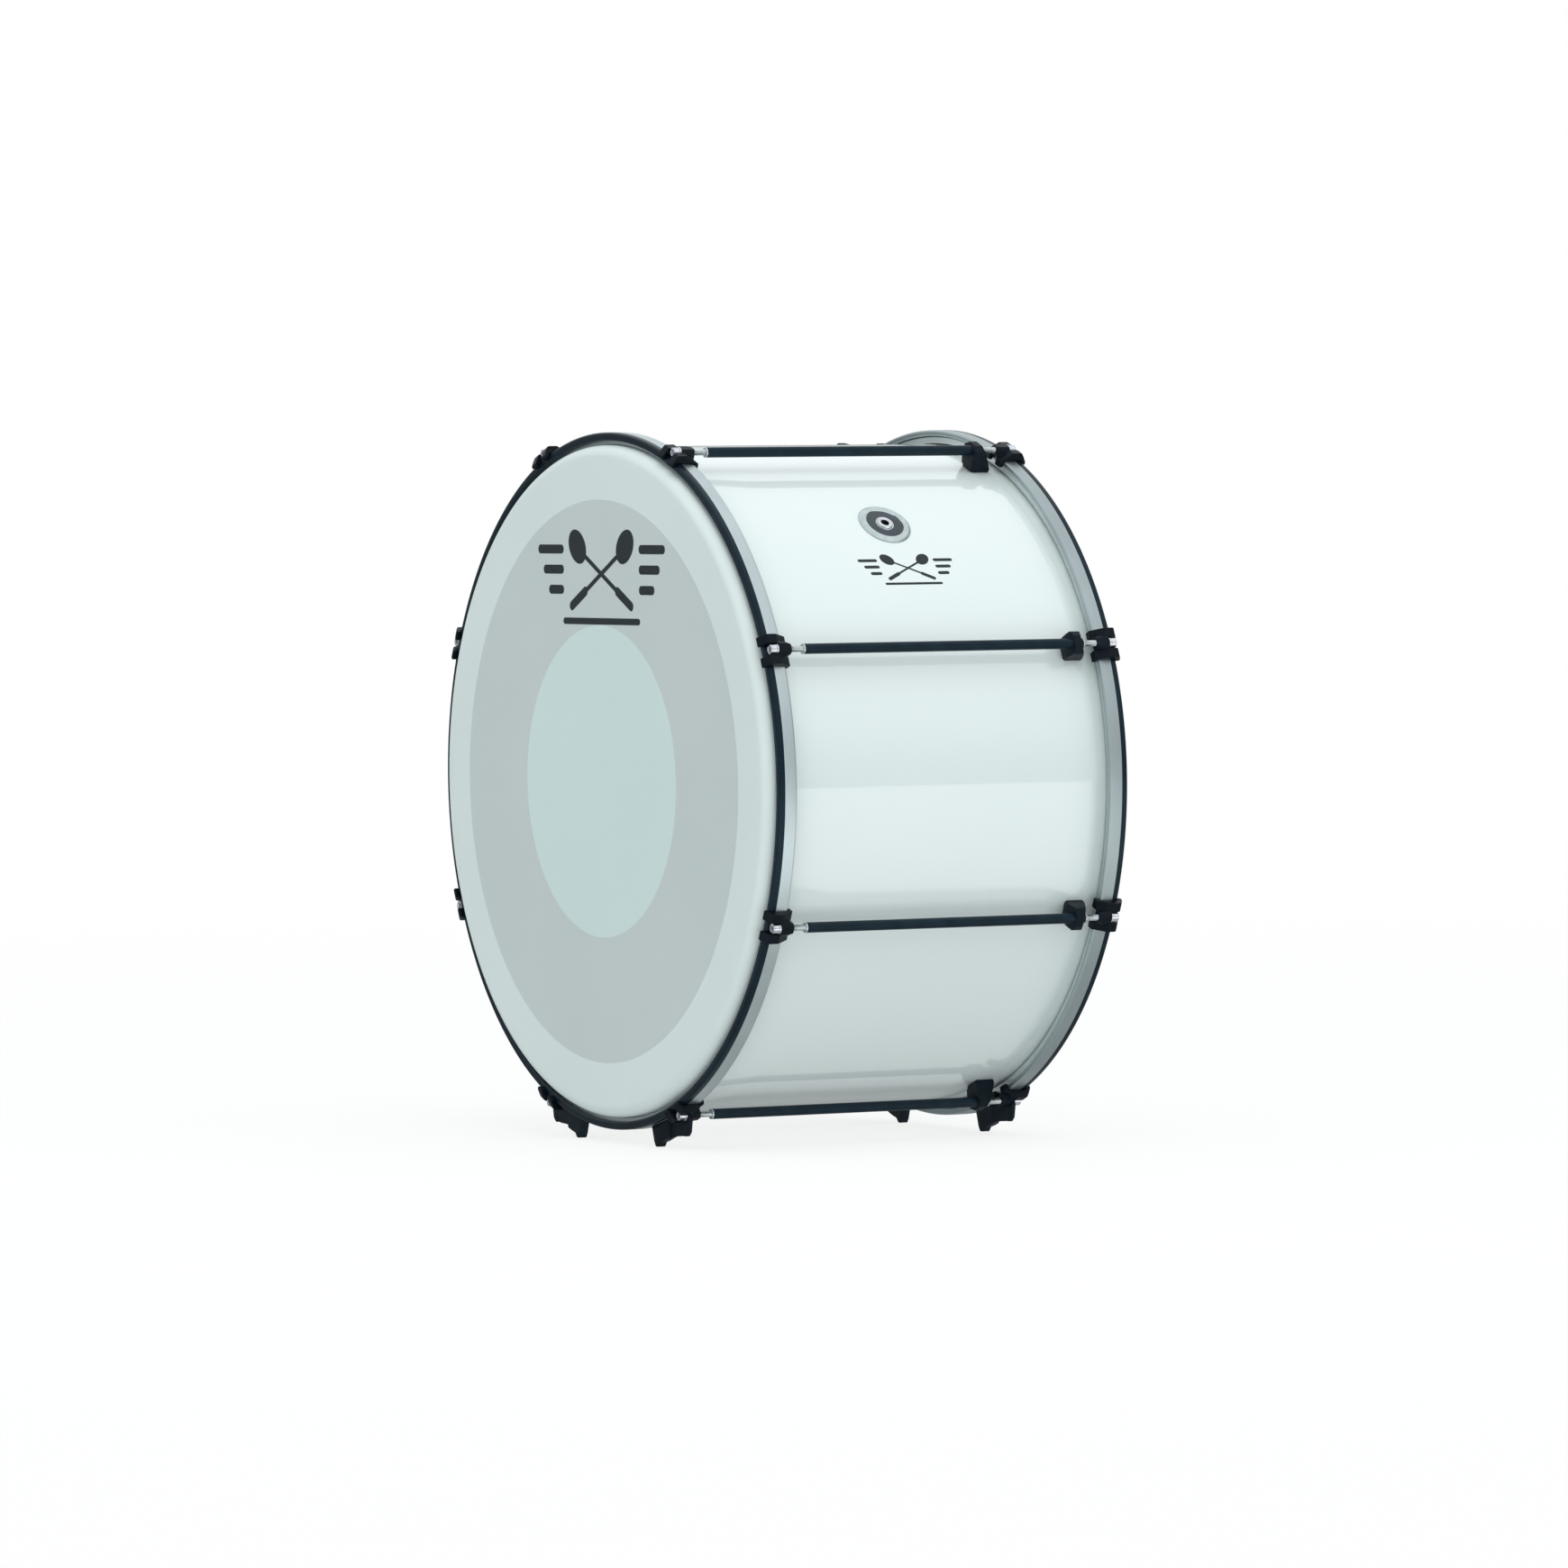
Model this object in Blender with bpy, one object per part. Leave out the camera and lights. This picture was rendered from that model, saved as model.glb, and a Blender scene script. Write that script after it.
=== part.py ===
"""Marching bass drum, 26 x 16 in, with eight through tension tubes and slim aluminium hoops.

Frame: drum axis along Y, printed head facing -Y, +Z up, z = 0 where the four feet stand,
origin under the middle of the shell. Metres.
"""

import math

import bmesh
import bpy
from mathutils import Matrix, Vector

# ---------------------------------------------------------------- driving dimensions (mm)
MM = 0.001
SEG = 48  # facets of every large ring, so that the rings nest facet to facet
GAP = 0.3  # clearance kept between touching pieces

SHELL_R = 330.2  # 26 in shell, outside radius
SHELL_WALL = 7.0
EDGE_START = 6.7  # the bearing edge is rounded over this depth
SHELL_HALF = 203.2  # 16 in deep, bearing edge to bearing edge
FOOT_HEIGHT = 357.0  # drum axis above the floor

RIM_R = 344.2  # hoop outside radius
RIM_FACE = 195.2  # outer face of the hoop edging, from the drum's middle
EDGING_R_IN = 336.0
EDGING_INNER = 189.3
HOOP_OUTER = 189.0
HOOP_INNER = 175.4
HOOP_WALL_R = 338.2
HOOP_FLANGE_R = 332.3
HOOP_FLANGE_INNER = 186.8

HEAD_FILM = 0.5  # film, a little thickened to stay a solid
COLLAR_R_IN = SHELL_R + 0.5
COLLAR_R_OUT = COLLAR_R_IN + 1.1
FLESH_R = 337.8
FLESH_TOP = 186.5
FLESH_BOTTOM = 179.0

LUG_ANGLES = (22.5, 67.5, 112.5, 157.5, 202.5, 247.5, 292.5, 337.5)
LUG_R = 350.0  # tension rod circle
TUBE_R = 5.1
TUBE_BORE_R = 3.5
TUBE_END = 157.5
SCREW_R = 3.0  # M6 x 1
SCREW_SEAT = 185.5
SCREW_LENGTH = 50.0
SCREW_HEAD_R = 5.0
SCREW_HEAD_LEN = 6.6
WASHER_R = 5.5
WASHER_T = 1.6
SOCKET_AF = 5.0
SOCKET_DEPTH = 3.2
ROD_HOLE_R = 3.6

CLAW_HALF = 15.4
CLAW_SLOT_HALF = 5.9
CLAW_INNER = -5.5  # from the rod circle, inwards
CLAW_OUTER = 2.6
CLAW_PAD_FACE = 200.2
CLAW_BOSS_END = 171.5

BRACKET_BORE_R = TUBE_R + 0.35

FOOT_IN = 181.5  # plate of the foot, clamped on the rod inside the claw
FOOT_OUT = 185.2
FOOT_TOE_IN = 181.1  # thicker part that stands on the floor
FOOT_TOE_OUT = 188.6
FOOT_SLOT_IN = FOOT_IN - GAP
FOOT_SLOT_OUT = FOOT_OUT + GAP

VENT_ANGLE = 49.7
VENT_Y = -1.5
VENT_R = 27.0
VENT_SLEEVE_R = 6.0
VENT_BORE_R = 4.2
VENT_HOLE_R = 6.5


# ---------------------------------------------------------------- scene and materials
for old in list(bpy.data.objects):
    bpy.data.objects.remove(old, do_unlink=True)


def material(name, colour, roughness, metallic=0.0):
    mat = bpy.data.materials.new(name)
    mat.use_nodes = True
    bsdf = mat.node_tree.nodes["Principled BSDF"]
    bsdf.inputs["Base Color"].default_value = (*colour, 1.0)
    bsdf.inputs["Roughness"].default_value = roughness
    bsdf.inputs["Metallic"].default_value = metallic
    mat.diffuse_color = (*colour, 1.0)
    return mat


WHITE_LACQUER = material("white_lacquer", (0.80, 0.86, 0.86), 0.12)
HEAD_FILM_MAT = material("drumhead_film", (0.66, 0.72, 0.72), 0.42)
ALUMINIUM = material("polished_aluminium", (0.72, 0.75, 0.77), 0.28, 1.0)
RUBBER = material("black_rubber", (0.012, 0.016, 0.020), 0.55)
BLACK_PAINT = material("black_powder_coat", (0.014, 0.019, 0.025), 0.35)
BLACK_PLASTIC = material("black_plastic", (0.013, 0.017, 0.022), 0.45)
STEEL = material("zinc_plated_steel", (0.66, 0.68, 0.71), 0.25, 1.0)
CHROME = material("chromed_badge", (0.75, 0.77, 0.79), 0.12, 1.0)


# ---------------------------------------------------------------- mesh helpers
def mesh_from(bm, name):
    bmesh.ops.remove_doubles(bm, verts=bm.verts, dist=1e-7)
    bmesh.ops.recalc_face_normals(bm, faces=bm.faces)
    mesh = bpy.data.meshes.new(name)
    bm.to_mesh(mesh)
    bm.free()
    return mesh


def add_object(name, mesh, mat, location=(0.0, 0.0, 0.0), turn=0.0, sharp=40.0):
    """Places a mesh as a named sub-part; turn is its lug angle about the drum axis, in degrees."""
    mesh.materials.clear()
    mesh.materials.append(mat)
    mesh.shade_smooth()
    mesh.set_sharp_from_angle(angle=math.radians(sharp))
    obj = bpy.data.objects.new(name, mesh)
    obj.location = location
    obj.rotation_euler = (0.0, -math.radians(turn), 0.0)
    bpy.context.scene.collection.objects.link(obj)
    obj.parent = DRUM_AXIS
    return obj


def ring_mesh(name, profile, segments=SEG, closed=True):
    """Turns a profile of (radius, y) in mm about the Y axis.

    An open profile starts and ends on the axis, and is closed there with fans.
    """
    bm = bmesh.new()
    rings = []
    for radius, y in profile:
        if radius < 1e-6:
            rings.append([bm.verts.new((0.0, y * MM, 0.0))])
            continue
        ring = []
        for i in range(segments):
            a = 2.0 * math.pi * i / segments
            ring.append(bm.verts.new((radius * MM * math.cos(a), y * MM, radius * MM * math.sin(a))))
        rings.append(ring)
    pairs = list(zip(rings, rings[1:]))
    if closed:
        pairs.append((rings[-1], rings[0]))
    for one, two in pairs:
        if len(one) == 1 and len(two) == 1:
            continue
        for i in range(segments):
            j = (i + 1) % segments
            if len(one) == 1:
                bm.faces.new((one[0], two[i], two[j]))
            elif len(two) == 1:
                bm.faces.new((one[i], one[j], two[0]))
            else:
                bm.faces.new((one[i], one[j], two[j], two[i]))
    return mesh_from(bm, name)


def mirrored(profile):
    return [(r, -y) for r, y in profile]


def prism(bm, outline, low, high, axis):
    """Extrudes an outline of (a, b) pairs between low and high along axis 'y' or 'z'. All in mm."""

    def place(a, b, c):
        return (a * MM, c * MM, b * MM) if axis == "y" else (a * MM, b * MM, c * MM)

    bottom = [bm.verts.new(place(a, b, low)) for a, b in outline]
    top = [bm.verts.new(place(a, b, high)) for a, b in outline]
    count = len(outline)
    bm.faces.new(bottom)
    bm.faces.new(list(reversed(top)))
    for i in range(count):
        j = (i + 1) % count
        bm.faces.new((bottom[i], top[i], top[j], bottom[j]))


def prism_mesh(name, outline, low, high, axis):
    bm = bmesh.new()
    prism(bm, outline, low, high, axis)
    return mesh_from(bm, name)


def hull_mesh(name, points):
    bm = bmesh.new()
    for p in points:
        bm.verts.new((p[0] * MM, p[1] * MM, p[2] * MM))
    result = bmesh.ops.convex_hull(bm, input=bm.verts)
    loose = [g for g in result["geom_interior"] + result["geom_unused"] if isinstance(g, bmesh.types.BMVert)]
    bmesh.ops.delete(bm, geom=list(dict.fromkeys(loose)), context="VERTS")
    return mesh_from(bm, name)


def rod_mesh(name, radius, low, high, sides=12):
    """A plain rod along Y, for cutting round holes."""
    outline = [
        (radius * math.cos(2 * math.pi * (i + 0.5) / sides), radius * math.sin(2 * math.pi * (i + 0.5) / sides))
        for i in range(sides)
    ]
    return prism_mesh(name, outline, low, high, "y")


def combine(name, base, others):
    """Applies a list of (operation, mesh) Booleans to the base mesh and returns the new mesh."""
    body = bpy.data.objects.new("base_blank", base)
    bpy.context.scene.collection.objects.link(body)
    tools = []
    for number, (operation, mesh) in enumerate(others):
        tool = bpy.data.objects.new("tool_blank", mesh)
        tool.hide_render = True
        tool.display_type = "WIRE"
        bpy.context.scene.collection.objects.link(tool)
        tools.append(tool)
        modifier = body.modifiers.new(f"cut_{number}", "BOOLEAN")
        modifier.operation = operation
        modifier.solver = "EXACT"
        modifier.object = tool
    bpy.context.view_layer.update()
    graph = bpy.context.evaluated_depsgraph_get()
    made = bpy.data.meshes.new_from_object(body.evaluated_get(graph))
    for obj in [body, *tools]:
        bpy.data.objects.remove(obj, do_unlink=True)
    bm = bmesh.new()
    bm.from_mesh(made)
    bmesh.ops.remove_doubles(bm, verts=bm.verts, dist=1e-6)
    bmesh.ops.dissolve_degenerate(bm, edges=bm.edges, dist=1e-6)
    bmesh.ops.triangulate(bm, faces=bm.faces)
    return mesh_from(bm, name)


def flipped_y(mesh, name):
    """The same piece for the other end of the drum."""
    bm = bmesh.new()
    bm.from_mesh(mesh)
    bmesh.ops.transform(bm, matrix=Matrix.Scale(-1.0, 4, (0.0, 1.0, 0.0)), verts=bm.verts)
    return mesh_from(bm, name)


def flipped_z(mesh, name):
    """The same piece for the other side of the drum."""
    bm = bmesh.new()
    bm.from_mesh(mesh)
    bmesh.ops.transform(bm, matrix=Matrix.Scale(-1.0, 4, (0.0, 0.0, 1.0)), verts=bm.verts)
    return mesh_from(bm, name)


DRUM_AXIS = bpy.data.objects.new("drum_axis", None)
DRUM_AXIS.location = (0.0, 0.0, FOOT_HEIGHT * MM)
bpy.context.scene.collection.objects.link(DRUM_AXIS)


def lug_place(angle):
    a = math.radians(angle)
    return (LUG_R * MM * math.cos(a), 0.0, LUG_R * MM * math.sin(a))


# ---------------------------------------------------------------- shell and vent badge
inner = SHELL_R - SHELL_WALL
shell_profile = [
    (SHELL_R, SHELL_HALF - EDGE_START),
    (SHELL_R - 0.8, SHELL_HALF - 3.5),
    (SHELL_R - 3.1, SHELL_HALF - 1.1),
    (SHELL_R - 5.9, SHELL_HALF),
    (inner, SHELL_HALF - 1.2),
]
shell_profile += [(r, -y) for r, y in reversed(shell_profile)]
vent_hole = rod_mesh("vent_hole", VENT_HOLE_R, SHELL_R - 20.0, SHELL_R + 20.0, 16)
# The hole runs along the radius at the badge: +Y of the rod is turned to that radius.
vent_a = math.radians(VENT_ANGLE)
vent_out = Vector((math.cos(vent_a), 0.0, math.sin(vent_a)))
vent_round = Vector((-math.sin(vent_a), 0.0, math.cos(vent_a)))
vent_frame = Matrix((vent_round, vent_out, Vector((0.0, 1.0, 0.0)))).transposed().to_4x4()
vent_frame.translation = Vector((0.0, VENT_Y * MM, 0.0))
vent_hole.transform(vent_frame)
shell_mesh = combine("shell", ring_mesh("shell_blank", shell_profile), [("DIFFERENCE", vent_hole)])
add_object("shell", shell_mesh, WHITE_LACQUER)


def vent_badge_mesh():
    """Round badge, bent to the shell, on a short sleeve that goes through the shell's hole."""
    profile = [
        (VENT_BORE_R, 1.2),
        (9.0, 1.2),
        (9.8, 2.0),
        (VENT_R - 3.4, 2.0),
        (VENT_R - 2.6, 2.6),
        (VENT_R - 0.8, 2.6),
        (VENT_R, 1.8),
        (VENT_R, 0.45),
        (VENT_SLEEVE_R, 0.45),
        (VENT_SLEEVE_R, -(SHELL_WALL + 2.6)),
        (VENT_BORE_R, -(SHELL_WALL + 2.6)),
    ]
    sides = 24
    bm = bmesh.new()
    rings = []
    for radius, height in profile:
        ring = []
        for i in range(sides):
            a = 2.0 * math.pi * i / sides
            round_arc = radius * math.cos(a)
            along = radius * math.sin(a)
            angle = math.radians(VENT_ANGLE) + round_arc / SHELL_R
            r = (SHELL_R + height) * MM
            ring.append(bm.verts.new((r * math.cos(angle), (VENT_Y + along) * MM, r * math.sin(angle))))
        rings.append(ring)
    for k, one in enumerate(rings):
        two = rings[(k + 1) % len(rings)]
        for i in range(sides):
            j = (i + 1) % sides
            bm.faces.new((one[i], one[j], two[j], two[i]))
    return mesh_from(bm, "vent_badge")


add_object("vent_badge", vent_badge_mesh(), CHROME)

# ---------------------------------------------------------------- drumheads, hoops and edging
head_profile = [
    (0.0, SHELL_HALF + GAP + HEAD_FILM),
    (COLLAR_R_OUT - 7.5, SHELL_HALF + GAP + HEAD_FILM),
    (COLLAR_R_OUT - 3.7, SHELL_HALF - 0.1),
    (COLLAR_R_OUT - 1.0, SHELL_HALF - 2.9),
    (COLLAR_R_OUT, SHELL_HALF - EDGE_START),
    (COLLAR_R_OUT, FLESH_TOP),
    (FLESH_R, FLESH_TOP),
    (FLESH_R, FLESH_BOTTOM),
    (COLLAR_R_IN, FLESH_BOTTOM),
    (COLLAR_R_IN, SHELL_HALF - EDGE_START),
    (COLLAR_R_IN - 0.8, SHELL_HALF - 3.2),
    (COLLAR_R_IN - 3.15, SHELL_HALF - 0.64),
    (COLLAR_R_IN - 6.4, SHELL_HALF + GAP),
    (0.0, SHELL_HALF + GAP),
]
hoop_profile = [
    (RIM_R, HOOP_INNER + 1.5),
    (RIM_R, HOOP_OUTER),
    (HOOP_FLANGE_R, HOOP_OUTER),
    (HOOP_FLANGE_R, HOOP_FLANGE_INNER),
    (HOOP_WALL_R, HOOP_FLANGE_INNER),
    (HOOP_WALL_R, HOOP_INNER + 1.2),
    (HOOP_WALL_R + 1.2, HOOP_INNER),
    (RIM_R - 1.5, HOOP_INNER),
]
edging_profile = [
    (RIM_R, EDGING_INNER),
    (RIM_R, RIM_FACE - 1.4),
    (RIM_R - 1.4, RIM_FACE),
    (EDGING_R_IN + 1.4, RIM_FACE),
    (EDGING_R_IN, RIM_FACE - 1.4),
    (EDGING_R_IN, EDGING_INNER),
]
for end, flip in (("front", True), ("rear", False)):
    side = mirrored if flip else list
    add_object(f"{end}_head", ring_mesh(f"{end}_head", side(head_profile), closed=False), HEAD_FILM_MAT)
    add_object(f"{end}_hoop", ring_mesh(f"{end}_hoop", side(hoop_profile)), ALUMINIUM)
    add_object(f"{end}_hoop_edging", ring_mesh(f"{end}_hoop_edging", side(edging_profile)), RUBBER)

# ---------------------------------------------------------------- tension tubes and their brackets
tube_profile = [
    (TUBE_R - 0.4, -TUBE_END),
    (TUBE_R, -TUBE_END + 0.4),
    (TUBE_R, TUBE_END - 0.4),
    (TUBE_R - 0.4, TUBE_END),
    (TUBE_BORE_R, TUBE_END),
    (TUBE_BORE_R, -TUBE_END),
]
tube_mesh = ring_mesh("tension_tube", tube_profile, segments=12)

# Corner points of the bracket: radial offset from the tube axis, axial place, tangential half-width.
# It leans towards the middle of the drum, so its foot on the shell is nearer the rear hoop.
BRACKET_STATIONS = (
    (SHELL_R + GAP - LUG_R, 144.5, 164.5, 8.6),
    (-17.0, 142.5, 164.5, 10.2),
    (-10.0, 141.5, 160.0, 10.8),
    (-3.0, 142.0, 157.0, 11.6),
    (3.0, 142.8, 154.5, 11.8),
    (7.0, 144.5, 152.5, 6.0),
)
bracket_points = [
    (w, y, u) for w, y0, y1, half in BRACKET_STATIONS for y in (y0, y1) for u in (-half, half)
]
bracket_mesh = combine(
    "tube_bracket",
    hull_mesh("bracket_blank", bracket_points),
    [("DIFFERENCE", rod_mesh("bracket_bore", BRACKET_BORE_R, 120.0, 180.0, 12))],
)

# ---------------------------------------------------------------- claws
# Side outline of one jaw: (radial offset from the rod circle, axial place).
JAW = (
    (CLAW_INNER, RIM_FACE + GAP),
    (-9.8, RIM_FACE + GAP),
    (-9.8, CLAW_PAD_FACE),
    (-7.0, CLAW_PAD_FACE),
    (CLAW_OUTER - 0.6, CLAW_PAD_FACE - 5.2),
    (CLAW_OUTER, CLAW_PAD_FACE - 6.6),
    (CLAW_OUTER, 184.5),
    (-5.6, 171.0),
    (-12.4, 171.0),
    (-12.4, HOOP_INNER - GAP),
    (CLAW_INNER, HOOP_INNER - GAP),
)


def jaw_mesh(low, high):
    return prism_mesh("jaw", JAW, low, high, "z")


def boss_mesh():
    points = []
    for y, half, bottom, shoulder, top, narrow in (
        (SCREW_SEAT - 0.3, 7.2, CLAW_INNER, 2.0, 4.9, 4.4),
        (176.5, 7.2, CLAW_INNER, 2.0, 4.9, 4.4),
        (CLAW_BOSS_END, 5.4, -5.2, 1.6, 4.6, 3.2),
    ):
        for u in (-1, 1):
            points += [(bottom, y, u * half), (shoulder, y, u * half), (top, y, u * narrow)]
    return hull_mesh("boss", points)


def claw_mesh(name, slot_side=0):
    """A claw for the rear end. slot_side cuts the slot for a foot plate from that tangential side."""
    steps = [
        ("UNION", jaw_mesh(-CLAW_HALF, -CLAW_SLOT_HALF)),
        ("UNION", jaw_mesh(CLAW_SLOT_HALF, CLAW_HALF)),
        ("DIFFERENCE", rod_mesh("rod_hole", ROD_HOLE_R, 150.0, 215.0, 12)),
    ]
    if slot_side:
        far, near = slot_side * 30.0, -slot_side * 6.3
        slot = prism_mesh(
            "foot_slot",
            ((-4.7, FOOT_SLOT_IN), (30.0, FOOT_SLOT_IN), (30.0, FOOT_SLOT_OUT), (-4.7, FOOT_SLOT_OUT)),
            min(far, near),
            max(far, near),
            "z",
        )
        steps.append(("DIFFERENCE", slot))
    return combine(name, boss_mesh(), steps)


plain_claw = claw_mesh("claw")
# At lug 7 (lower right) the middle of the drum lies towards smaller angles, at lug 6 (lower left)
# towards larger ones.
foot_claw = {7: claw_mesh("claw_slot_right", -1), 6: claw_mesh("claw_slot_left", 1)}


# ---------------------------------------------------------------- tension screws
def screw_mesh():
    """M6 socket-head screw with its washer, for the rear end: head outwards, at +Y."""
    seat = SCREW_SEAT
    top = seat + WASHER_T + SCREW_HEAD_LEN
    sides = 12

    def ring(bm, radius, y, hexagon=False):
        made = []
        for i in range(sides):
            a = 2.0 * math.pi * i / sides
            r = radius
            if hexagon and i % 2 == 0:
                r = radius / math.cos(math.pi / 6.0)
            made.append(bm.verts.new((r * MM * math.cos(a), y * MM, r * MM * math.sin(a))))
        return made

    bm = bmesh.new()
    rings = [
        ring(bm, SOCKET_AF / 2.0, top - SOCKET_DEPTH, True),
        ring(bm, SOCKET_AF / 2.0, top, True),
        ring(bm, SCREW_HEAD_R, top),
        ring(bm, SCREW_HEAD_R, seat + WASHER_T),
        ring(bm, WASHER_R, seat + WASHER_T),
        ring(bm, WASHER_R, seat),
        ring(bm, SCREW_R, seat),
        ring(bm, SCREW_R, seat - SCREW_LENGTH),
    ]
    for one, two in zip(rings, rings[1:]):
        for i in range(sides):
            j = (i + 1) % sides
            bm.faces.new((one[i], one[j], two[j], two[i]))
    bm.faces.new(rings[0])
    bm.faces.new(rings[-1])
    return mesh_from(bm, "tension_screw")


rear_screw = screw_mesh()


# ---------------------------------------------------------------- feet
def foot_mesh():
    """Foot plate of the rear right claw, in the claw's own frame turned back to level.

    Outline in (x, z) from the tension rod's axis, in mm, with the rod's hole and a small notch
    in the lower edge. It slides over the rod in the claw's slot and reaches the floor.
    """
    cx = LUG_R * math.cos(math.radians(-67.5))
    cz = LUG_R * math.sin(math.radians(-67.5))
    ground = -FOOT_HEIGHT - cz

    def local(angle, w, u):
        """A point given by its radial and tangential offsets from the rod, as (x, z)."""
        a = math.radians(angle)
        return (
            w * math.cos(a) - u * math.sin(a),
            w * math.sin(a) + u * math.cos(a),
        )

    def on_hoop(x):
        """The hoop's outer surface, with clearance, over drum coordinate x."""
        r = RIM_R + 0.5
        return (x - cx, -math.sqrt(r * r - x * x) - cz)

    toe = [
        on_hoop(71.0),
        (75.6 - cx, ground + 5.0),
        (78.2 - cx, ground + 0.9),
        (79.4 - cx, ground),
        (83.6 - cx, ground),
        (85.2 - cx, ground + 1.2),
        (88.0 - cx, ground + 4.6),
        (95.0 - cx, ground + 6.4),
        (103.0 - cx, ground + 9.2),
    ]
    bow = [on_hoop(x) for x in (94.0, 82.5)]
    outline = toe + [
        (111.5 - cx, ground + 11.6),
        (126.6 - cx, ground + 12.6),
        (127.4 - cx, ground + 14.8),
        (130.0 - cx, ground + 14.8),
        (130.8 - cx, ground + 12.8),
        (135.2 - cx, ground + 12.8),
        (139.6 - cx, ground + 17.0),
        local(-67.5, 6.2, 6.0),
        local(-67.5, -4.4, 6.0),
        local(-67.5, -4.4, -17.6),
        on_hoop(114.0),
        on_hoop(104.0),
    ]
    plate = prism_mesh("foot_blank", outline + bow, FOOT_IN, FOOT_OUT, "y")
    thick = prism_mesh("foot_toe", toe + [on_hoop(103.0)] + bow, FOOT_TOE_IN, FOOT_TOE_OUT, "y")
    hole = rod_mesh("foot_hole", ROD_HOLE_R, 150.0, 215.0, 12)
    return combine("foot", plate, [("UNION", thick), ("DIFFERENCE", hole)])


rear_right_foot = foot_mesh()


def flipped_x(mesh, name):
    bm = bmesh.new()
    bm.from_mesh(mesh)
    bmesh.ops.transform(bm, matrix=Matrix.Scale(-1.0, 4, (1.0, 0.0, 0.0)), verts=bm.verts)
    return mesh_from(bm, name)


# ---------------------------------------------------------------- place the repeated pieces
for number, angle in enumerate(LUG_ANGLES, start=1):
    place = lug_place(angle)
    add_object(f"tension_tube_{number}", tube_mesh.copy(), BLACK_PAINT, place, angle)
    add_object(f"tube_bracket_{number}", bracket_mesh.copy(), BLACK_PLASTIC, place, angle)
    claw = foot_claw.get(number, plain_claw)
    add_object(f"rear_claw_{number}", claw.copy(), BLACK_PAINT, place, angle)
    add_object(f"front_claw_{number}", flipped_y(claw, "claw_front"), BLACK_PAINT, place, angle)
    add_object(f"rear_tension_screw_{number}", rear_screw.copy(), STEEL, place, angle)
    add_object(f"front_tension_screw_{number}", flipped_y(rear_screw, "screw_front"), STEEL, place, angle)

right_place = lug_place(-67.5)
left_place = lug_place(-112.5)
left_foot = flipped_x(rear_right_foot, "foot_left")
add_object("rear_foot_right", rear_right_foot.copy(), BLACK_PLASTIC, right_place)
add_object("rear_foot_left", left_foot.copy(), BLACK_PLASTIC, left_place)
add_object("front_foot_right", flipped_y(rear_right_foot, "foot_front_right"), BLACK_PLASTIC, right_place)
add_object("front_foot_left", flipped_y(left_foot, "foot_front_left"), BLACK_PLASTIC, left_place)
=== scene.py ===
import math

import bmesh
import bpy
from mathutils import Matrix, Vector


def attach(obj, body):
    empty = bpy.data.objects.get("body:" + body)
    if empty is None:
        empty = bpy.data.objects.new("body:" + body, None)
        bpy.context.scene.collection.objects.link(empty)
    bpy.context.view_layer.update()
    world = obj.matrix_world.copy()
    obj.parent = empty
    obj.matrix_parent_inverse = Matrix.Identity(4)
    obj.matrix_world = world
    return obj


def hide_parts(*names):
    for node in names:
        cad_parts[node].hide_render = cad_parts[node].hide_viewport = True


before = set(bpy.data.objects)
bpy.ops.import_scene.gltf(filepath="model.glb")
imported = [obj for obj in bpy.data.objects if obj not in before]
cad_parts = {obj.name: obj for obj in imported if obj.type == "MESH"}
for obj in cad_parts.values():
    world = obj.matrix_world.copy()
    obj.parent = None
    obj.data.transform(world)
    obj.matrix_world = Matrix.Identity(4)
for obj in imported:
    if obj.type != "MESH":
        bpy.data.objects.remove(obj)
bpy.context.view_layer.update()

MM = 0.001
AXIS_Z = 357.0  # the drum's axis above the floor
SEG = 192

SHELL_R = 330.2
SHELL_HALF = 203.2
RIM_R = 344.2
RIM_FACE = 195.2
HOOP_OUTER = 189.0
HOOP_INNER = 175.4
FILM_OUT = 203.75  # the printed emblem is the outermost 0.1 mm
COLLAR_R = 331.8
LUG_R = 350.0
LUG_ANGLES = (22.5, 67.5, 112.5, 157.5, 202.5, 247.5, 292.5, 337.5)
TUBE_R = 5.1
TUBE_END = 157.5
SCREW_SEAT = 185.5
RING_IN, RING_OUT = 154.0, 278.0  # printed ring of the front head

STAGE = bpy.data.collections.new("stage")
bpy.context.scene.collection.children.link(STAGE)


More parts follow.
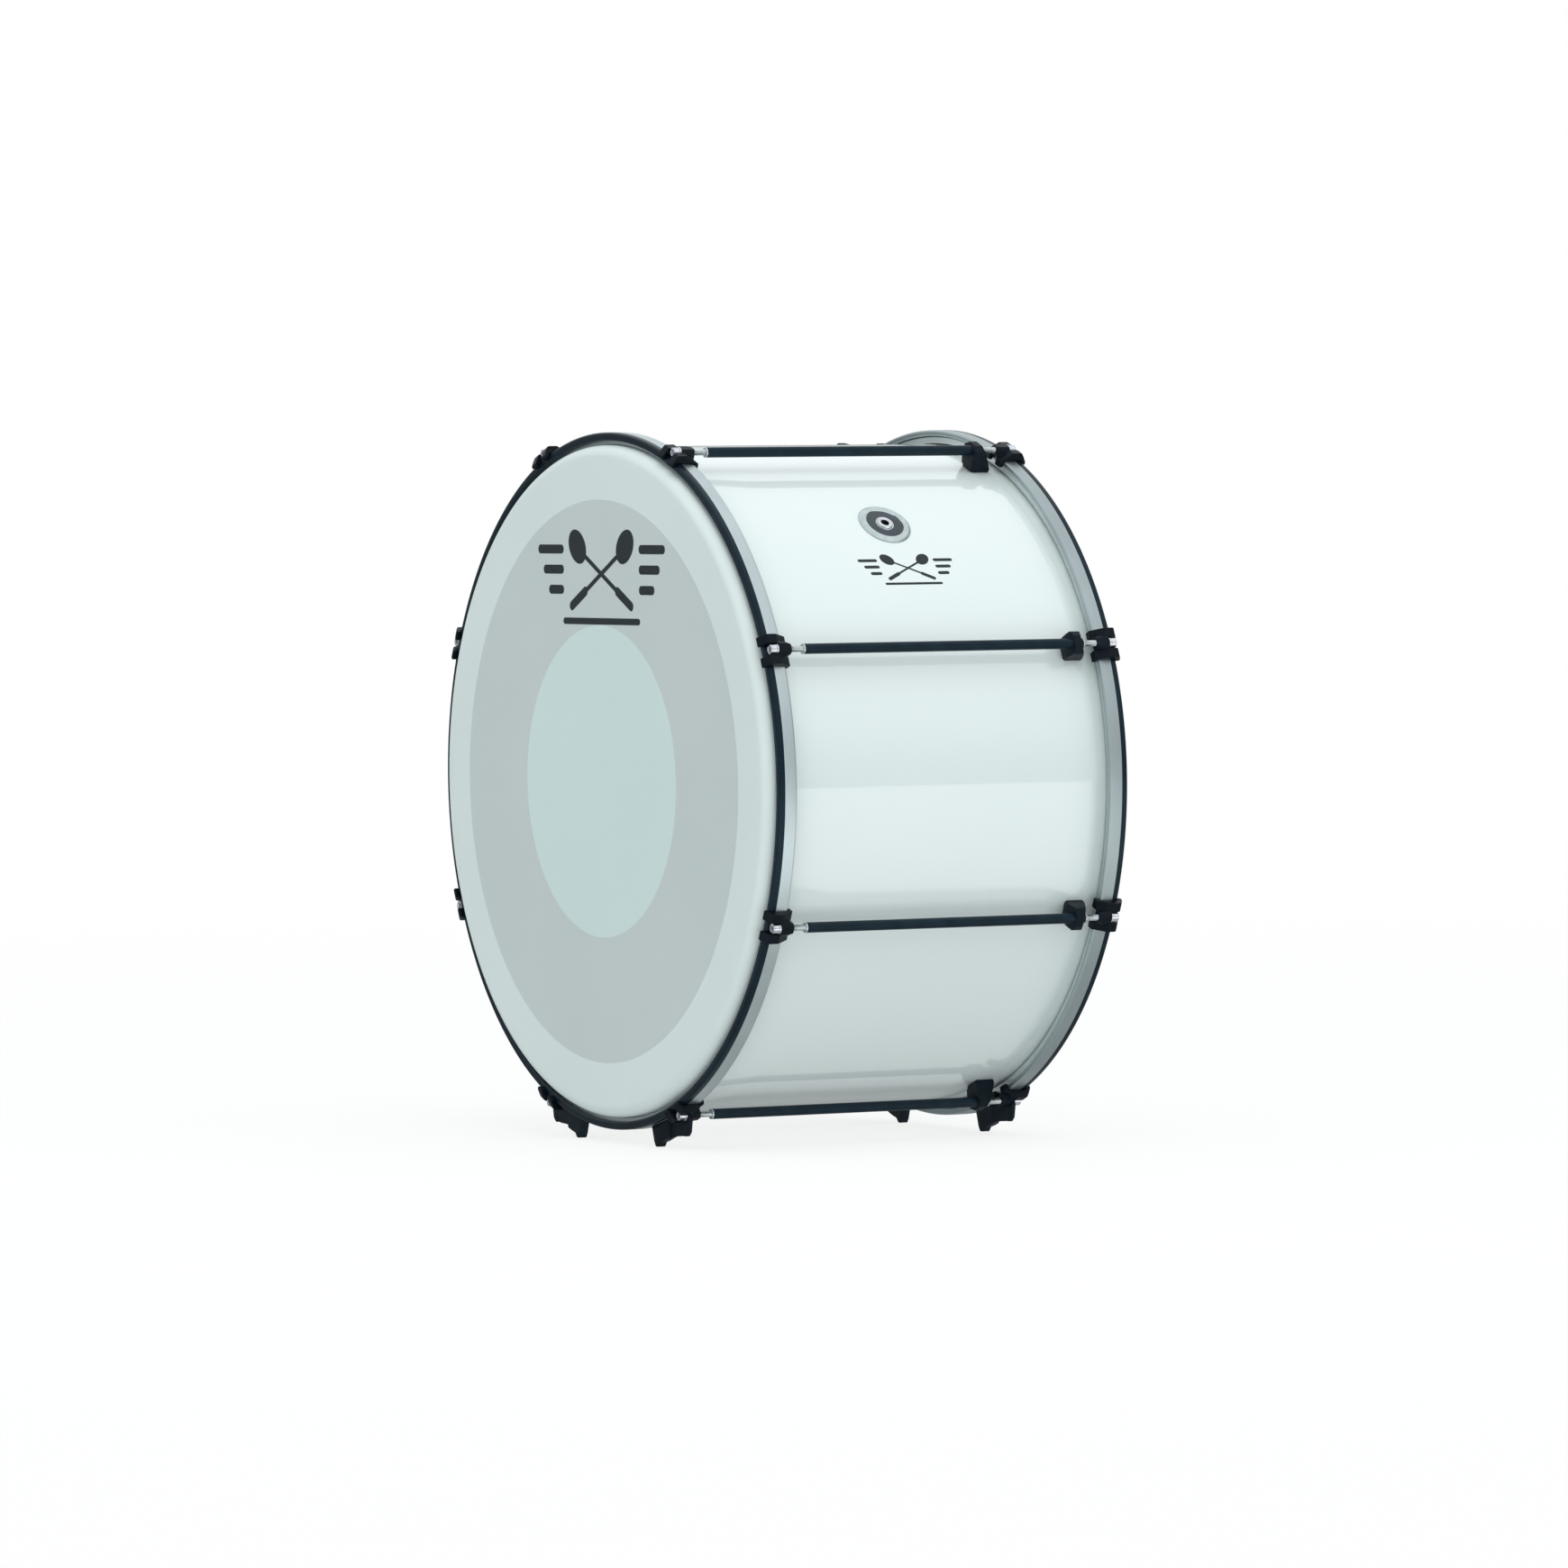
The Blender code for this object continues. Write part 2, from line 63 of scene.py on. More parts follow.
# ------------------------------------------------------------------------------------ nodes
class Tree:
    """A short way to write a node material."""

    def __init__(self, name):
        self.mat = bpy.data.materials.new(name)
        self.mat.use_nodes = True
        self.t = self.mat.node_tree
        self.bsdf = self.t.nodes["Principled BSDF"]
        self.count = 0

    def node(self, kind, **values):
        n = self.t.nodes.new(kind)
        self.count += 1
        n.location = (-220 * (1 + self.count // 6), 240 * (self.count % 6) - 500)
        for k, v in values.items():
            setattr(n, k, v)
        return n

    def link(self, a, b):
        self.t.links.new(a, b)

    def math(self, op, a, b=None, c=None, clamp=False):
        n = self.node("ShaderNodeMath", operation=op, use_clamp=clamp)
        for i, v in enumerate((a, b, c)):
            if v is None:
                continue
            if isinstance(v, (int, float)):
                n.inputs[i].default_value = v
            else:
                self.link(v, n.inputs[i])
        return n.outputs[0]

    def object_coords(self):
        return self.node("ShaderNodeTexCoord").outputs["Object"]

    def scaled(self, vector, scale):
        n = self.node("ShaderNodeMapping")
        n.inputs["Scale"].default_value = scale
        self.link(vector, n.inputs["Vector"])
        return n.outputs[0]

    def noise(self, vector, scale, detail=3.0, rough=0.5):
        n = self.node("ShaderNodeTexNoise")
        n.inputs["Scale"].default_value = scale
        n.inputs["Detail"].default_value = detail
        n.inputs["Roughness"].default_value = rough
        self.link(vector, n.inputs["Vector"])
        return n.outputs["Fac"]

    def span(self, value, a, b, c, d, smooth=True):
        n = self.node("ShaderNodeMapRange")
        n.interpolation_type = "SMOOTHSTEP" if smooth else "LINEAR"
        n.inputs["From Min"].default_value = a
        n.inputs["From Max"].default_value = b
        n.inputs["To Min"].default_value = c
        n.inputs["To Max"].default_value = d
        self.link(value, n.inputs["Value"])
        return n.outputs["Result"]

    def mix(self, fac, a, b):
        n = self.node("ShaderNodeMix", data_type="RGBA")
        for socket, v in (("Factor", fac), ("A", a), ("B", b)):
            slot = [s for s in n.inputs if s.name == socket and s.enabled][0]
            if isinstance(v, (int, float)):
                slot.default_value = v
            elif isinstance(v, tuple):
                slot.default_value = (*v, 1.0)
            else:
                self.link(v, slot)
        return [s for s in n.outputs if s.enabled][0]

    def bump(self, height, strength, distance=0.0002, normal=None):
        n = self.node("ShaderNodeBump")
        n.inputs["Strength"].default_value = strength
        n.inputs["Distance"].default_value = distance
        self.link(height, n.inputs["Height"])
        if normal is not None:
            self.link(normal, n.inputs["Normal"])
        return n.outputs["Normal"]

    def put(self, name, value):
        s = self.bsdf.inputs[name]
        if isinstance(value, (int, float)):
            s.default_value = value
        elif isinstance(value, tuple):
            s.default_value = (*value, 1.0) if len(s.default_value) == 4 else value
        else:
            self.link(value, s)

    def cylinder_coords(self, co):
        """(radius, angle times 0.34 m, y) about the drum's axis, for pieces whose mesh is in drum coordinates."""
        s = self.node("ShaderNodeSeparateXYZ")
        self.link(co, s.inputs[0])
        x, y, z = s.outputs
        zc = self.math("SUBTRACT", z, AXIS_Z * MM)
        radius = self.math("SQRT", self.math("ADD", self.math("MULTIPLY", x, x), self.math("MULTIPLY", zc, zc)))
        angle = self.math("MULTIPLY", self.math("ARCTAN2", zc, x), 0.34)
        return radius, angle, y


def combine_xyz(t, x, y, z):
    n = t.node("ShaderNodeCombineXYZ")
    for i, v in enumerate((x, y, z)):
        if isinstance(v, (int, float)):
            n.inputs[i].default_value = v
        else:
            t.link(v, n.inputs[i])
    return n.outputs[0]


# -------------------------------------------------------------------------------- materials
def lacquer_material():
    t = Tree("white_gloss_lacquer")
    co = t.object_coords()
    cloud = t.noise(co, 3.0, 2.0)
    colour = t.mix(t.span(cloud, 0.3, 0.7, 0.0, 1.0), (0.800, 0.885, 0.875), (0.815, 0.897, 0.888))
    speck = t.noise(co, 900.0, 2.0)
    colour = t.mix(t.span(speck, 0.72, 0.80, 0.0, 0.06), colour, (0.62, 0.70, 0.70))
    t.put("Base Color", colour)
    t.put("Roughness", t.span(t.noise(co, 60.0, 3.0), 0.3, 0.7, 0.30, 0.36))
    t.put("Specular IOR Level", 0.3)
    t.put("Coat Weight", 1.0)
    t.put("Coat Roughness", 0.012)
    t.put("Coat IOR", 1.72)
    peel = t.noise(co, 330.0, 2.0)
    normal = t.bump(peel, 0.06, 0.0001)
    t.put("Normal", normal)
    t.link(t.bump(peel, 0.045, 0.0001), t.bsdf.inputs["Coat Normal"])
    return t.mat


def plywood_material():
    t = Tree("shell_plywood")
    co = t.object_coords()
    radius, angle, y = t.cylinder_coords(co)
    grain = t.noise(combine_xyz(t, t.math("MULTIPLY", angle, 6.0), t.math("MULTIPLY", y, 90.0), 0.0), 3.0, 6.0, 0.6)
    wood = t.mix(t.span(grain, 0.3, 0.75, 0.0, 1.0), (0.56, 0.37, 0.20), (0.72, 0.53, 0.33))
    ply = t.math("PINGPONG", t.math("MULTIPLY", radius, 1000.0), 1.0)
    edge = t.math("GREATER_THAN", t.math("ABSOLUTE", y), 0.2012)
    t.put("Base Color", t.mix(t.math("MULTIPLY", t.math("MULTIPLY", ply, edge), 0.5), wood, (0.34, 0.20, 0.10)))
    t.put("Roughness", t.span(grain, 0.3, 0.7, 0.42, 0.58))
    t.put("Normal", t.bump(grain, 0.12))
    return t.mat


def film_material(name, printed):
    """Polyester drumhead film, white on one side, with a very fine sprayed grain."""
    t = Tree(name)
    co = t.object_coords()
    radius, angle, y = t.cylinder_coords(co)
    cloud = t.noise(co, 5.0, 3.0)
    white = t.mix(t.span(cloud, 0.3, 0.7, 0.0, 1.0), (0.762, 0.852, 0.843), (0.782, 0.870, 0.862))
    if printed:
        wide = t.mix(t.span(cloud, 0.3, 0.7, 0.0, 1.0), (0.614, 0.690, 0.683), (0.632, 0.708, 0.699))
        pale = t.mix(t.span(cloud, 0.3, 0.7, 0.0, 1.0), (0.684, 0.832, 0.822), (0.698, 0.844, 0.832))
        inside = t.span(radius, RING_IN * MM - 0.0004, RING_IN * MM + 0.0004, 1.0, 0.0)
        ring = t.span(radius, RING_OUT * MM - 0.0005, RING_OUT * MM + 0.0005, 1.0, 0.0)
        colour = t.mix(ring, white, wide)
        colour = t.mix(inside, colour, pale)
    else:
        colour = white
    t.put("Base Color", colour)
    grain = t.noise(co, 2600.0, 2.0, 0.6)
    t.put("Roughness", t.span(t.noise(co, 40.0, 3.0), 0.3, 0.7, 0.48, 0.56))
    t.put("Specular IOR Level", 0.35)
    t.put("Normal", t.bump(grain, 0.10, 0.00006))
    return t.mat


def turned_metal(name, base, rough, brush):
    """Metal with fine marks that run round the drum's axis."""
    t = Tree(name)
    co = t.object_coords()
    radius, angle, y = t.cylinder_coords(co)
    lines = t.noise(
        combine_xyz(t, t.math("MULTIPLY", angle, 2.0), t.math("MULTIPLY", y, 900.0), t.math("MULTIPLY", radius, 900.0)),
        3.0,
        4.0,
        0.6,
    )
    cloud = t.noise(co, 14.0, 3.0)
    dark = tuple(c * 0.90 for c in base)
    t.put("Base Color", t.mix(t.span(cloud, 0.3, 0.7, 0.0, 1.0), dark, base))
    t.put("Metallic", 1.0)
    t.put("Roughness", t.span(lines, 0.3, 0.7, rough - 0.05, rough + 0.07))
    t.put("Normal", t.bump(lines, brush, 0.00005))
    return t.mat


def small_metal(name, base, rough, bump=0.05):
    t = Tree(name)
    co = t.object_coords()
    fine = t.noise(t.scaled(co, (1.0, 6.0, 1.0)), 900.0, 3.0)
    cloud = t.noise(co, 120.0, 3.0)
    dark = tuple(c * 0.86 for c in base)
    t.put("Base Color", t.mix(t.span(cloud, 0.3, 0.75, 0.0, 1.0), dark, base))
    t.put("Metallic", 1.0)
    t.put("Roughness", t.span(fine, 0.3, 0.7, rough - 0.05, rough + 0.08))
    t.put("Normal", t.bump(fine, bump, 0.00004))
    return t.mat


def black_material(name, base, rough, grain_scale, grain, spec, worn=0.0, tint=(1.0, 1.0, 1.0)):
    t = Tree(name)
    co = t.object_coords()
    cloud = t.noise(co, 45.0, 3.0)
    fine = t.noise(co, grain_scale, 3.0, 0.6)
    light = tuple(c * 1.5 for c in base)
    colour = t.mix(t.span(cloud, 0.3, 0.75, 0.0, 1.0), base, light)
    if worn:
        geometry = t.node("ShaderNodeNewGeometry")
        edge = t.span(geometry.outputs["Pointiness"], 0.56, 0.66, 0.0, worn)
        rub = t.math("MULTIPLY", edge, t.span(t.noise(co, 260.0, 4.0), 0.45, 0.65, 0.0, 1.0))
        colour = t.mix(rub, colour, (0.09, 0.105, 0.115))
    t.put("Base Color", colour)
    t.put("Roughness", t.span(fine, 0.3, 0.7, rough - 0.06, rough + 0.08))
    t.put("Specular IOR Level", spec)
    t.put("Specular Tint", tint)
    t.put("Normal", t.bump(fine, grain, 0.00008))
    return t.mat


def ink_material(name, base):
    t = Tree(name)
    co = t.object_coords()
    t.put("Base Color", t.mix(t.span(t.noise(co, 300.0, 3.0), 0.35, 0.7, 0.0, 1.0), base, tuple(c * 1.25 for c in base)))
    t.put("Roughness", t.span(t.noise(co, 500.0, 2.0), 0.3, 0.7, 0.42, 0.52))
    t.put("Specular IOR Level", 0.3)
    return t.mat


LACQUER = lacquer_material()
PLYWOOD = plywood_material()
FILM_PRINTED = film_material("printed_head_film", True)
FILM_PLAIN = film_material("plain_head_film", False)
HOOP_METAL = turned_metal("hoop_aluminium_satin", (0.60, 0.675, 0.690), 0.40, 0.10)
# darker copy of the same hoop aluminium for the rear hoop: its lower base colour is painted shade, not a duller finish
HOOP_METAL_PAINTED_SHADE = turned_metal("hoop_aluminium_painted_shade", (0.45, 0.515, 0.530), 0.44, 0.10)
FLESH_METAL = turned_metal("flesh_hoop_aluminium", (0.78, 0.83, 0.83), 0.52, 0.12)
RUBBER = black_material("edging_black", (0.0034, 0.0095, 0.0165), 0.30, 1400.0, 0.08, 0.25, 0.0, (0.62, 0.90, 1.0))
POWDER = black_material("black_powder_coat", (0.0030, 0.0065, 0.0105), 0.36, 1900.0, 0.12, 0.11, 0.12)
TUBE_COAT = black_material("tube_black_coat", (0.0050, 0.0150, 0.0235), 0.32, 2200.0, 0.08, 0.13)
PLASTIC = black_material("black_moulded_plastic", (0.0038, 0.0085, 0.0130), 0.44, 2600.0, 0.14, 0.11)
STEEL = small_metal("bright_zinc_steel", (0.78, 0.80, 0.86), 0.20)
THREAD = small_metal("zinc_thread", (0.80, 0.84, 0.85), 0.30)
INSERT = small_metal("bright_insert", (0.68, 0.71, 0.72), 0.28)
CHROME = small_metal("badge_polished_metal", (0.60, 0.68, 0.69), 0.16)
ENAMEL = black_material("badge_dark_enamel", (0.020, 0.034, 0.044), 0.22, 800.0, 0.04, 0.5)
INK = ink_material("emblem_dark_ink", (0.016, 0.024, 0.028))


# ------------------------------------------------------------------------------ mesh helpers
def finish_mesh(bm, name, mat, sharp=35.0):
    bmesh.ops.remove_doubles(bm, verts=bm.verts, dist=1e-8)
    bmesh.ops.recalc_face_normals(bm, faces=bm.faces)
    mesh = bpy.data.meshes.new(name)
    bm.to_mesh(mesh)
    bm.free()
    mesh.materials.append(mat)
    mesh.shade_smooth()
    mesh.set_sharp_from_angle(angle=math.radians(sharp))
    return mesh


def piece(name, mesh, body, replaces=None, location=(0.0, 0.0, 0.0), rotation=(0.0, 0.0, 0.0)):
    obj = bpy.data.objects.new(name, mesh)
    obj.location = location
    obj.rotation_euler = rotation
    bpy.context.scene.collection.objects.link(obj)
    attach(obj, body)
    if replaces:
        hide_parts(replaces)
    return obj


def rounded(points, radii, steps=5):
    """Rounds the corners of a closed outline of (a, b) points; radii is one number or one for each point."""
    out = []
    count = len(points)
    for i, p in enumerate(points):
        r = radii if isinstance(radii, (int, float)) else radii[i]
        here = Vector(p)
        a = Vector(points[i - 1]) - here
        b = Vector(points[(i + 1) % count]) - here
        if r <= 0.0 or a.length < 1e-9 or b.length < 1e-9:
            out.append((p[0], p[1]))
            continue
        half = a.angle(b) / 2.0
        if half > math.radians(88.0):
            out.append((p[0], p[1]))
            continue
        cut = min(r / math.tan(half), a.length * 0.48, b.length * 0.48)
        start, end = here + a.normalized() * cut, here + b.normalized() * cut
        for k in range(steps + 1):
            s = k / steps
            q = start * (1 - s) ** 2 + here * (2 * s * (1 - s)) + end * s**2
            out.append((q.x, q.y))
    return out


def lathe(name, profile, mat, segments=SEG, closed=True, flip=False, centre_z=AXIS_Z, sharp=35.0, start=0.0):
    """Turns (radius, y) points in mm about the drum's axis, or about Y at another height."""
    bm = bmesh.new()
    rings = []
    for radius, y in profile:
        y = -y if flip else y
        if radius < 1e-6:
            rings.append([bm.verts.new((0.0, y * MM, centre_z * MM))])
            continue
        rings.append(
            [
                bm.verts.new(
                    (
                        radius * MM * math.cos(start + 2 * math.pi * i / segments),
                        y * MM,
                        (centre_z + radius * math.sin(start + 2 * math.pi * i / segments)) * MM,
                    )
                )
                for i in range(segments)
            ]
        )
    pairs = list(zip(rings, rings[1:]))
    if closed:
        pairs.append((rings[-1], rings[0]))
    for one, two in pairs:
        if len(one) == 1 and len(two) == 1:
            continue
        for i in range(segments):
            j = (i + 1) % segments
            if len(one) == 1:
                bm.faces.new((one[0], two[i], two[j]))
            elif len(two) == 1:
                bm.faces.new((one[i], one[j], two[0]))
            else:
                bm.faces.new((one[i], one[j], two[j], two[i]))
    return finish_mesh(bm, name, mat, sharp)


def prism(bm, outline, low, high, plane="xy"):
    """Extrudes (a, b) points: plane 'xy' goes along z, plane 'xz' along y. All in mm."""

    def place(a, b, c):
        return (a * MM, b * MM, c * MM) if plane == "xy" else (a * MM, c * MM, b * MM)

    bottom = [bm.verts.new(place(a, b, low)) for a, b in outline]
    top = [bm.verts.new(place(a, b, high)) for a, b in outline]
    bm.faces.new(bottom)
    bm.faces.new(list(reversed(top)))
    for i in range(len(outline)):
        j = (i + 1) % len(outline)
        bm.faces.new((bottom[i], top[i], top[j], bottom[j]))


def plain_mesh(bm, name="blank"):
    bmesh.ops.remove_doubles(bm, verts=bm.verts, dist=1e-8)
    bmesh.ops.recalc_face_normals(bm, faces=bm.faces)
    mesh = bpy.data.meshes.new(name)
    bm.to_mesh(mesh)
    bm.free()
    return mesh


def prism_blank(outline, low, high, plane="xy"):
    bm = bmesh.new()
    prism(bm, outline, low, high, plane)
    return plain_mesh(bm)


def hull_blank(points):
    bm = bmesh.new()
    for p in points:
        bm.verts.new((p[0] * MM, p[1] * MM, p[2] * MM))
    result = bmesh.ops.convex_hull(bm, input=bm.verts)
    loose = [g for g in result["geom_interior"] + result["geom_unused"] if isinstance(g, bmesh.types.BMVert)]
    bmesh.ops.delete(bm, geom=list(dict.fromkeys(loose)), context="VERTS")
    return plain_mesh(bm)


def rod_blank(radius, low, high, sides=40, centre=(0.0, 0.0)):
    outline = [
        (
            centre[0] + radius * math.cos(2 * math.pi * (i + 0.5) / sides),
            centre[1] + radius * math.sin(2 * math.pi * (i + 0.5) / sides),
        )
        for i in range(sides)
    ]
    return prism_blank(outline, low, high, "xz")


def modified(mesh, steps):
    """Runs a list of (kind, settings) modifiers on a mesh and returns the result."""
    body = bpy.data.objects.new("blank_body", mesh)
    bpy.context.scene.collection.objects.link(body)
    tools = []
    for number, (kind, settings) in enumerate(steps):
        mod = body.modifiers.new(f"step_{number}", kind)
        for key, value in settings.items():
            if key == "tool":
                tool = bpy.data.objects.new("blank_tool", value)
                bpy.context.scene.collection.objects.link(tool)
                tools.append(tool)
                mod.object = tool
            else:
                setattr(mod, key, value)
    bpy.context.view_layer.update()
    graph = bpy.context.evaluated_depsgraph_get()
    made = bpy.data.meshes.new_from_object(body.evaluated_get(graph))
    for obj in (body, *tools):
        bpy.data.objects.remove(obj, do_unlink=True)
    return made


def boolean(mesh, tools):
    return modified(
        mesh, [("BOOLEAN", {"operation": op, "solver": "EXACT", "tool": tool}) for op, tool in tools]
    )


def moulded(mesh, name, mat, voxel=0.42, smooth=5, keep=0.22, cuts=()):
    """Turns a hard-edged blank into a cast or moulded piece with soft edges, then cuts crisp holes."""
    soft = modified(
        mesh,
        [
            ("REMESH", {"mode": "VOXEL", "voxel_size": voxel * MM, "use_smooth_shade": True}),
            ("SMOOTH", {"factor": 0.5, "iterations": smooth}),
            ("DECIMATE", {"ratio": keep}),
        ],
    )
    if cuts:
        soft = boolean(soft, cuts)
    bm = bmesh.new()
    bm.from_mesh(soft)
    bmesh.ops.dissolve_degenerate(bm, edges=bm.edges, dist=2e-6)
    loose = [v for v in bm.verts if not v.link_faces]
    bmesh.ops.delete(bm, geom=loose, context="VERTS")
    bmesh.ops.triangulate(bm, faces=[f for f in bm.faces if len(f.verts) > 4])
    return finish_mesh(bm, name, mat, 50.0)


def mirrored(mesh, axis, name):
    """The same piece for the other end (axis 1) or the other side (axis 0 or 2)."""
    bm = bmesh.new()
    bm.from_mesh(mesh)
    scale = [1.0, 1.0, 1.0]
    scale[axis] = -1.0
    bmesh.ops.transform(bm, matrix=Matrix.Diagonal((*scale, 1.0)), verts=bm.verts)
    return finish_mesh(bm, name, mesh.materials[0], 50.0)


def lug_place(angle):
    a = math.radians(angle)
    return (LUG_R * MM * math.cos(a), 0.0, (AXIS_Z + LUG_R * math.sin(a)) * MM)


# ------------------------------------------------------------------------------------- shell
VENT_ANGLE, VENT_Y, VENT_R = 49.7, -1.5, 27.0


def vent_cutter(radius, low, high):
    mesh = rod_blank(radius, low, high, 48)
    a = math.radians(VENT_ANGLE)
    out = Vector((math.cos(a), 0.0, math.sin(a)))
    across = Vector((-math.sin(a), 0.0, math.cos(a)))
    turn = Matrix((across, out, Vector((0.0, 1.0, 0.0)))).transposed().to_4x4()
    turn.translation = Vector((0.0, VENT_Y * MM, AXIS_Z * MM))
    mesh.transform(turn)
    return mesh


def shell_part(name, profile, mat):
    made = boolean(lathe(name, profile, mat), [("DIFFERENCE", vent_cutter(6.5, 300.0, 350.0))])
    made.materials.clear()
    made.materials.append(mat)
    made.shade_smooth()
    made.set_sharp_from_angle(angle=math.radians(35.0))
    return made


def symmetric(right):
    """A closed (radius, y) profile from its half at y > 0, listed from outside to inside."""
    return right + [(r, -y) for r, y in reversed(right)]


covering = symmetric(
    [(SHELL_R, VENT_Y + 16.0 + 3.0), (SHELL_R, 60.0), (SHELL_R, 120.0), (SHELL_R, 194.6), (SHELL_R - 0.15, 194.9), (SHELL_R - 0.5, 195.0)]
)
covering_mesh = shell_part("shell_covering", covering, LACQUER)
piece("shell_covering", covering_mesh, "drum", "shell")
plywood = symmetric(
    [
        (SHELL_R - 0.5, 17.5),
        (SHELL_R - 0.5, SHELL_HALF - 7.9),
        (SHELL_R - 0.8, SHELL_HALF - 6.5),
        (SHELL_R - 1.6, SHELL_HALF - 5.0),
        (SHELL_R - 2.9, SHELL_HALF - 3.3),
        (SHELL_R - 4.4, SHELL_HALF - 2.1),
        (SHELL_R - 5.9, SHELL_HALF - 1.2),
        (SHELL_R - 6.4, SHELL_HALF - 1.1),
        (SHELL_R - 7.0, SHELL_HALF - 1.9),
        (SHELL_R - 7.0, 17.5),
    ]
)
plywood_mesh = shell_part("shell_plywood", plywood, PLYWOOD)
piece("shell_plywood", plywood_mesh, "drum")


# -------------------------------------------------------------------------------- vent badge
def bent_disc(name, profile, mat, sides=96, ripple=None):
    """Turns (radius, height) points about the badge's own axis and bends the result to the shell."""
    bm = bmesh.new()
    rings = []
    for radius, height in profile:
        ring = []
        for i in range(sides):
            a = 2.0 * math.pi * i / sides
            h = height + (ripple(radius, a) if ripple else 0.0)
            angle = math.radians(VENT_ANGLE) + radius * math.cos(a) / SHELL_R
            r = (SHELL_R + h) * MM
            ring.append(
                bm.verts.new((r * math.cos(angle), (VENT_Y + radius * math.sin(a)) * MM, AXIS_Z * MM + r * math.sin(angle)))
            )
        rings.append(ring)
    for k, one in enumerate(rings):
        two = rings[(k + 1) % len(rings)]
        for i in range(sides):
            j = (i + 1) % sides
            bm.faces.new((one[i], one[j], two[j], two[i]))
    return finish_mesh(bm, name, mat, 30.0)


plate_profile = [
    (6.6, 1.25),
    (8.6, 1.35),
    (9.3, 1.35),
    (9.7, 0.85),
    (19.0, 0.85),
    (19.4, 1.75),
    (20.2, 2.05),
    (22.8, 2.15),
    (24.6, 1.95),
    (25.9, 1.4),
    (26.8, 0.75),
    (27.0, 0.45),
    (26.6, 0.3),
    (6.6, 0.3),
]
piece("vent_badge_plate", bent_disc("vent_badge_plate", plate_profile, CHROME), "drum", "vent_badge")


def spokes(radius, a):
    """Fine radial ribs on the badge's inlay."""
    return 0.16 * max(0.0, math.cos(24.0 * a)) if 11.0 < radius < 18.4 else 0.0


inlay_profile = [(9.8, 0.9), (9.8, 1.2), (10.3, 1.3)]
inlay_profile += [(11.2 + 0.8 * k, 1.3) for k in range(9)] + [(18.4, 1.3), (18.8, 1.2), (18.8, 0.9)]
piece("vent_badge_inlay", bent_disc("vent_badge_inlay", inlay_profile, ENAMEL, 192, spokes), "drum")
eyelet_profile = [
    (4.2, 2.2),
    (4.9, 2.75),
    (6.2, 2.95),
    (7.5, 2.7),
    (8.1, 1.95),
    (8.1, 1.45),
    (6.5, 1.4),
    (6.2, 1.2),
    (6.1, -8.6),
    (4.2, -8.6),
]
piece("vent_badge_eyelet", bent_disc("vent_badge_eyelet", eyelet_profile, STEEL), "drum")


# --------------------------------------------------------------------------- heads and hoops
def arc(cx, cy, rx, ry, a0, a1, steps):
    return [
        (cx + rx * math.cos(math.radians(a0 + (a1 - a0) * k / steps)), cy + ry * math.sin(math.radians(a0 + (a1 - a0) * k / steps)))
        for k in range(steps + 1)
    ]


film_outer = [(0.0, FILM_OUT), (40.0, FILM_OUT), (100.0, FILM_OUT), (RING_IN, FILM_OUT), (220.0, FILM_OUT), (RING_OUT, FILM_OUT), (310.0, FILM_OUT)]
film_outer += arc(319.8, FILM_OUT - 12.0, COLLAR_R - 319.8, 12.0, 90.0, 0.0, 20)
film_outer += [(COLLAR_R, 187.2), (COLLAR_R, 181.2)]
film_inner = [(COLLAR_R - 0.4, 181.2), (COLLAR_R - 0.4, 188.0)]
film_inner += arc(319.8, FILM_OUT - 12.0, COLLAR_R - 320.2, 11.6, 0.0, 90.0, 16)
film_inner += [(310.0, FILM_OUT - 0.4), (RING_OUT, FILM_OUT - 0.4), (RING_IN, FILM_OUT - 0.4), (0.0, FILM_OUT - 0.4)]
flesh_profile = rounded(
    [(COLLAR_R + 0.2, 186.4), (337.7, 186.4), (337.7, 179.0), (331.0, 179.0), (331.0, 180.8), (COLLAR_R + 0.2, 180.8)],
    [0.6, 1.5, 1.5, 0.4, 0.2, 0.2],
    4,
)
hoop_profile = rounded(
    [
        (RIM_R, HOOP_OUTER),
        (332.3, HOOP_OUTER),
        (332.3, 186.9),
        (339.7, 186.9),
        (339.7, 182.6),
        (338.2, 181.4),
        (338.2, HOOP_INNER),
        (RIM_R, HOOP_INNER),
    ],
    [0.7, 0.7, 0.5, 0.5, 0.4, 0.8, 2.4, 2.6],
    6,
)
edging_profile = rounded(
    [(RIM_R, 189.15), (RIM_R, RIM_FACE), (336.0, RIM_FACE), (336.0, 189.15)],
    [0.4, 2.6, 2.2, 0.4],
    7,
)
for end, flip in (("front", True), ("rear", False)):
    film = FILM_PRINTED if end == "front" else FILM_PLAIN
    mesh = lathe(f"{end}_head_film", film_outer + film_inner, film, 256, False, flip, sharp=50.0)
    piece(f"{end}_head_film", mesh, f"{end}_rim", f"{end}_head")
    piece(f"{end}_flesh_hoop", lathe(f"{end}_flesh_hoop", flesh_profile, FLESH_METAL, 192, True, flip), f"{end}_rim")
    # the rear hoop takes the darker aluminium copy, whose colour is painted shade
    piece(f"{end}_hoop_metal", lathe(f"{end}_hoop_metal", hoop_profile, HOOP_METAL if end == "front" else HOOP_METAL_PAINTED_SHADE, 256, True, flip, sharp=30.0), f"{end}_rim", f"{end}_hoop")
    piece(f"{end}_hoop_bead", lathe(f"{end}_hoop_bead", edging_profile, RUBBER, 256, True, flip, sharp=40.0), f"{end}_rim", f"{end}_hoop_edging")

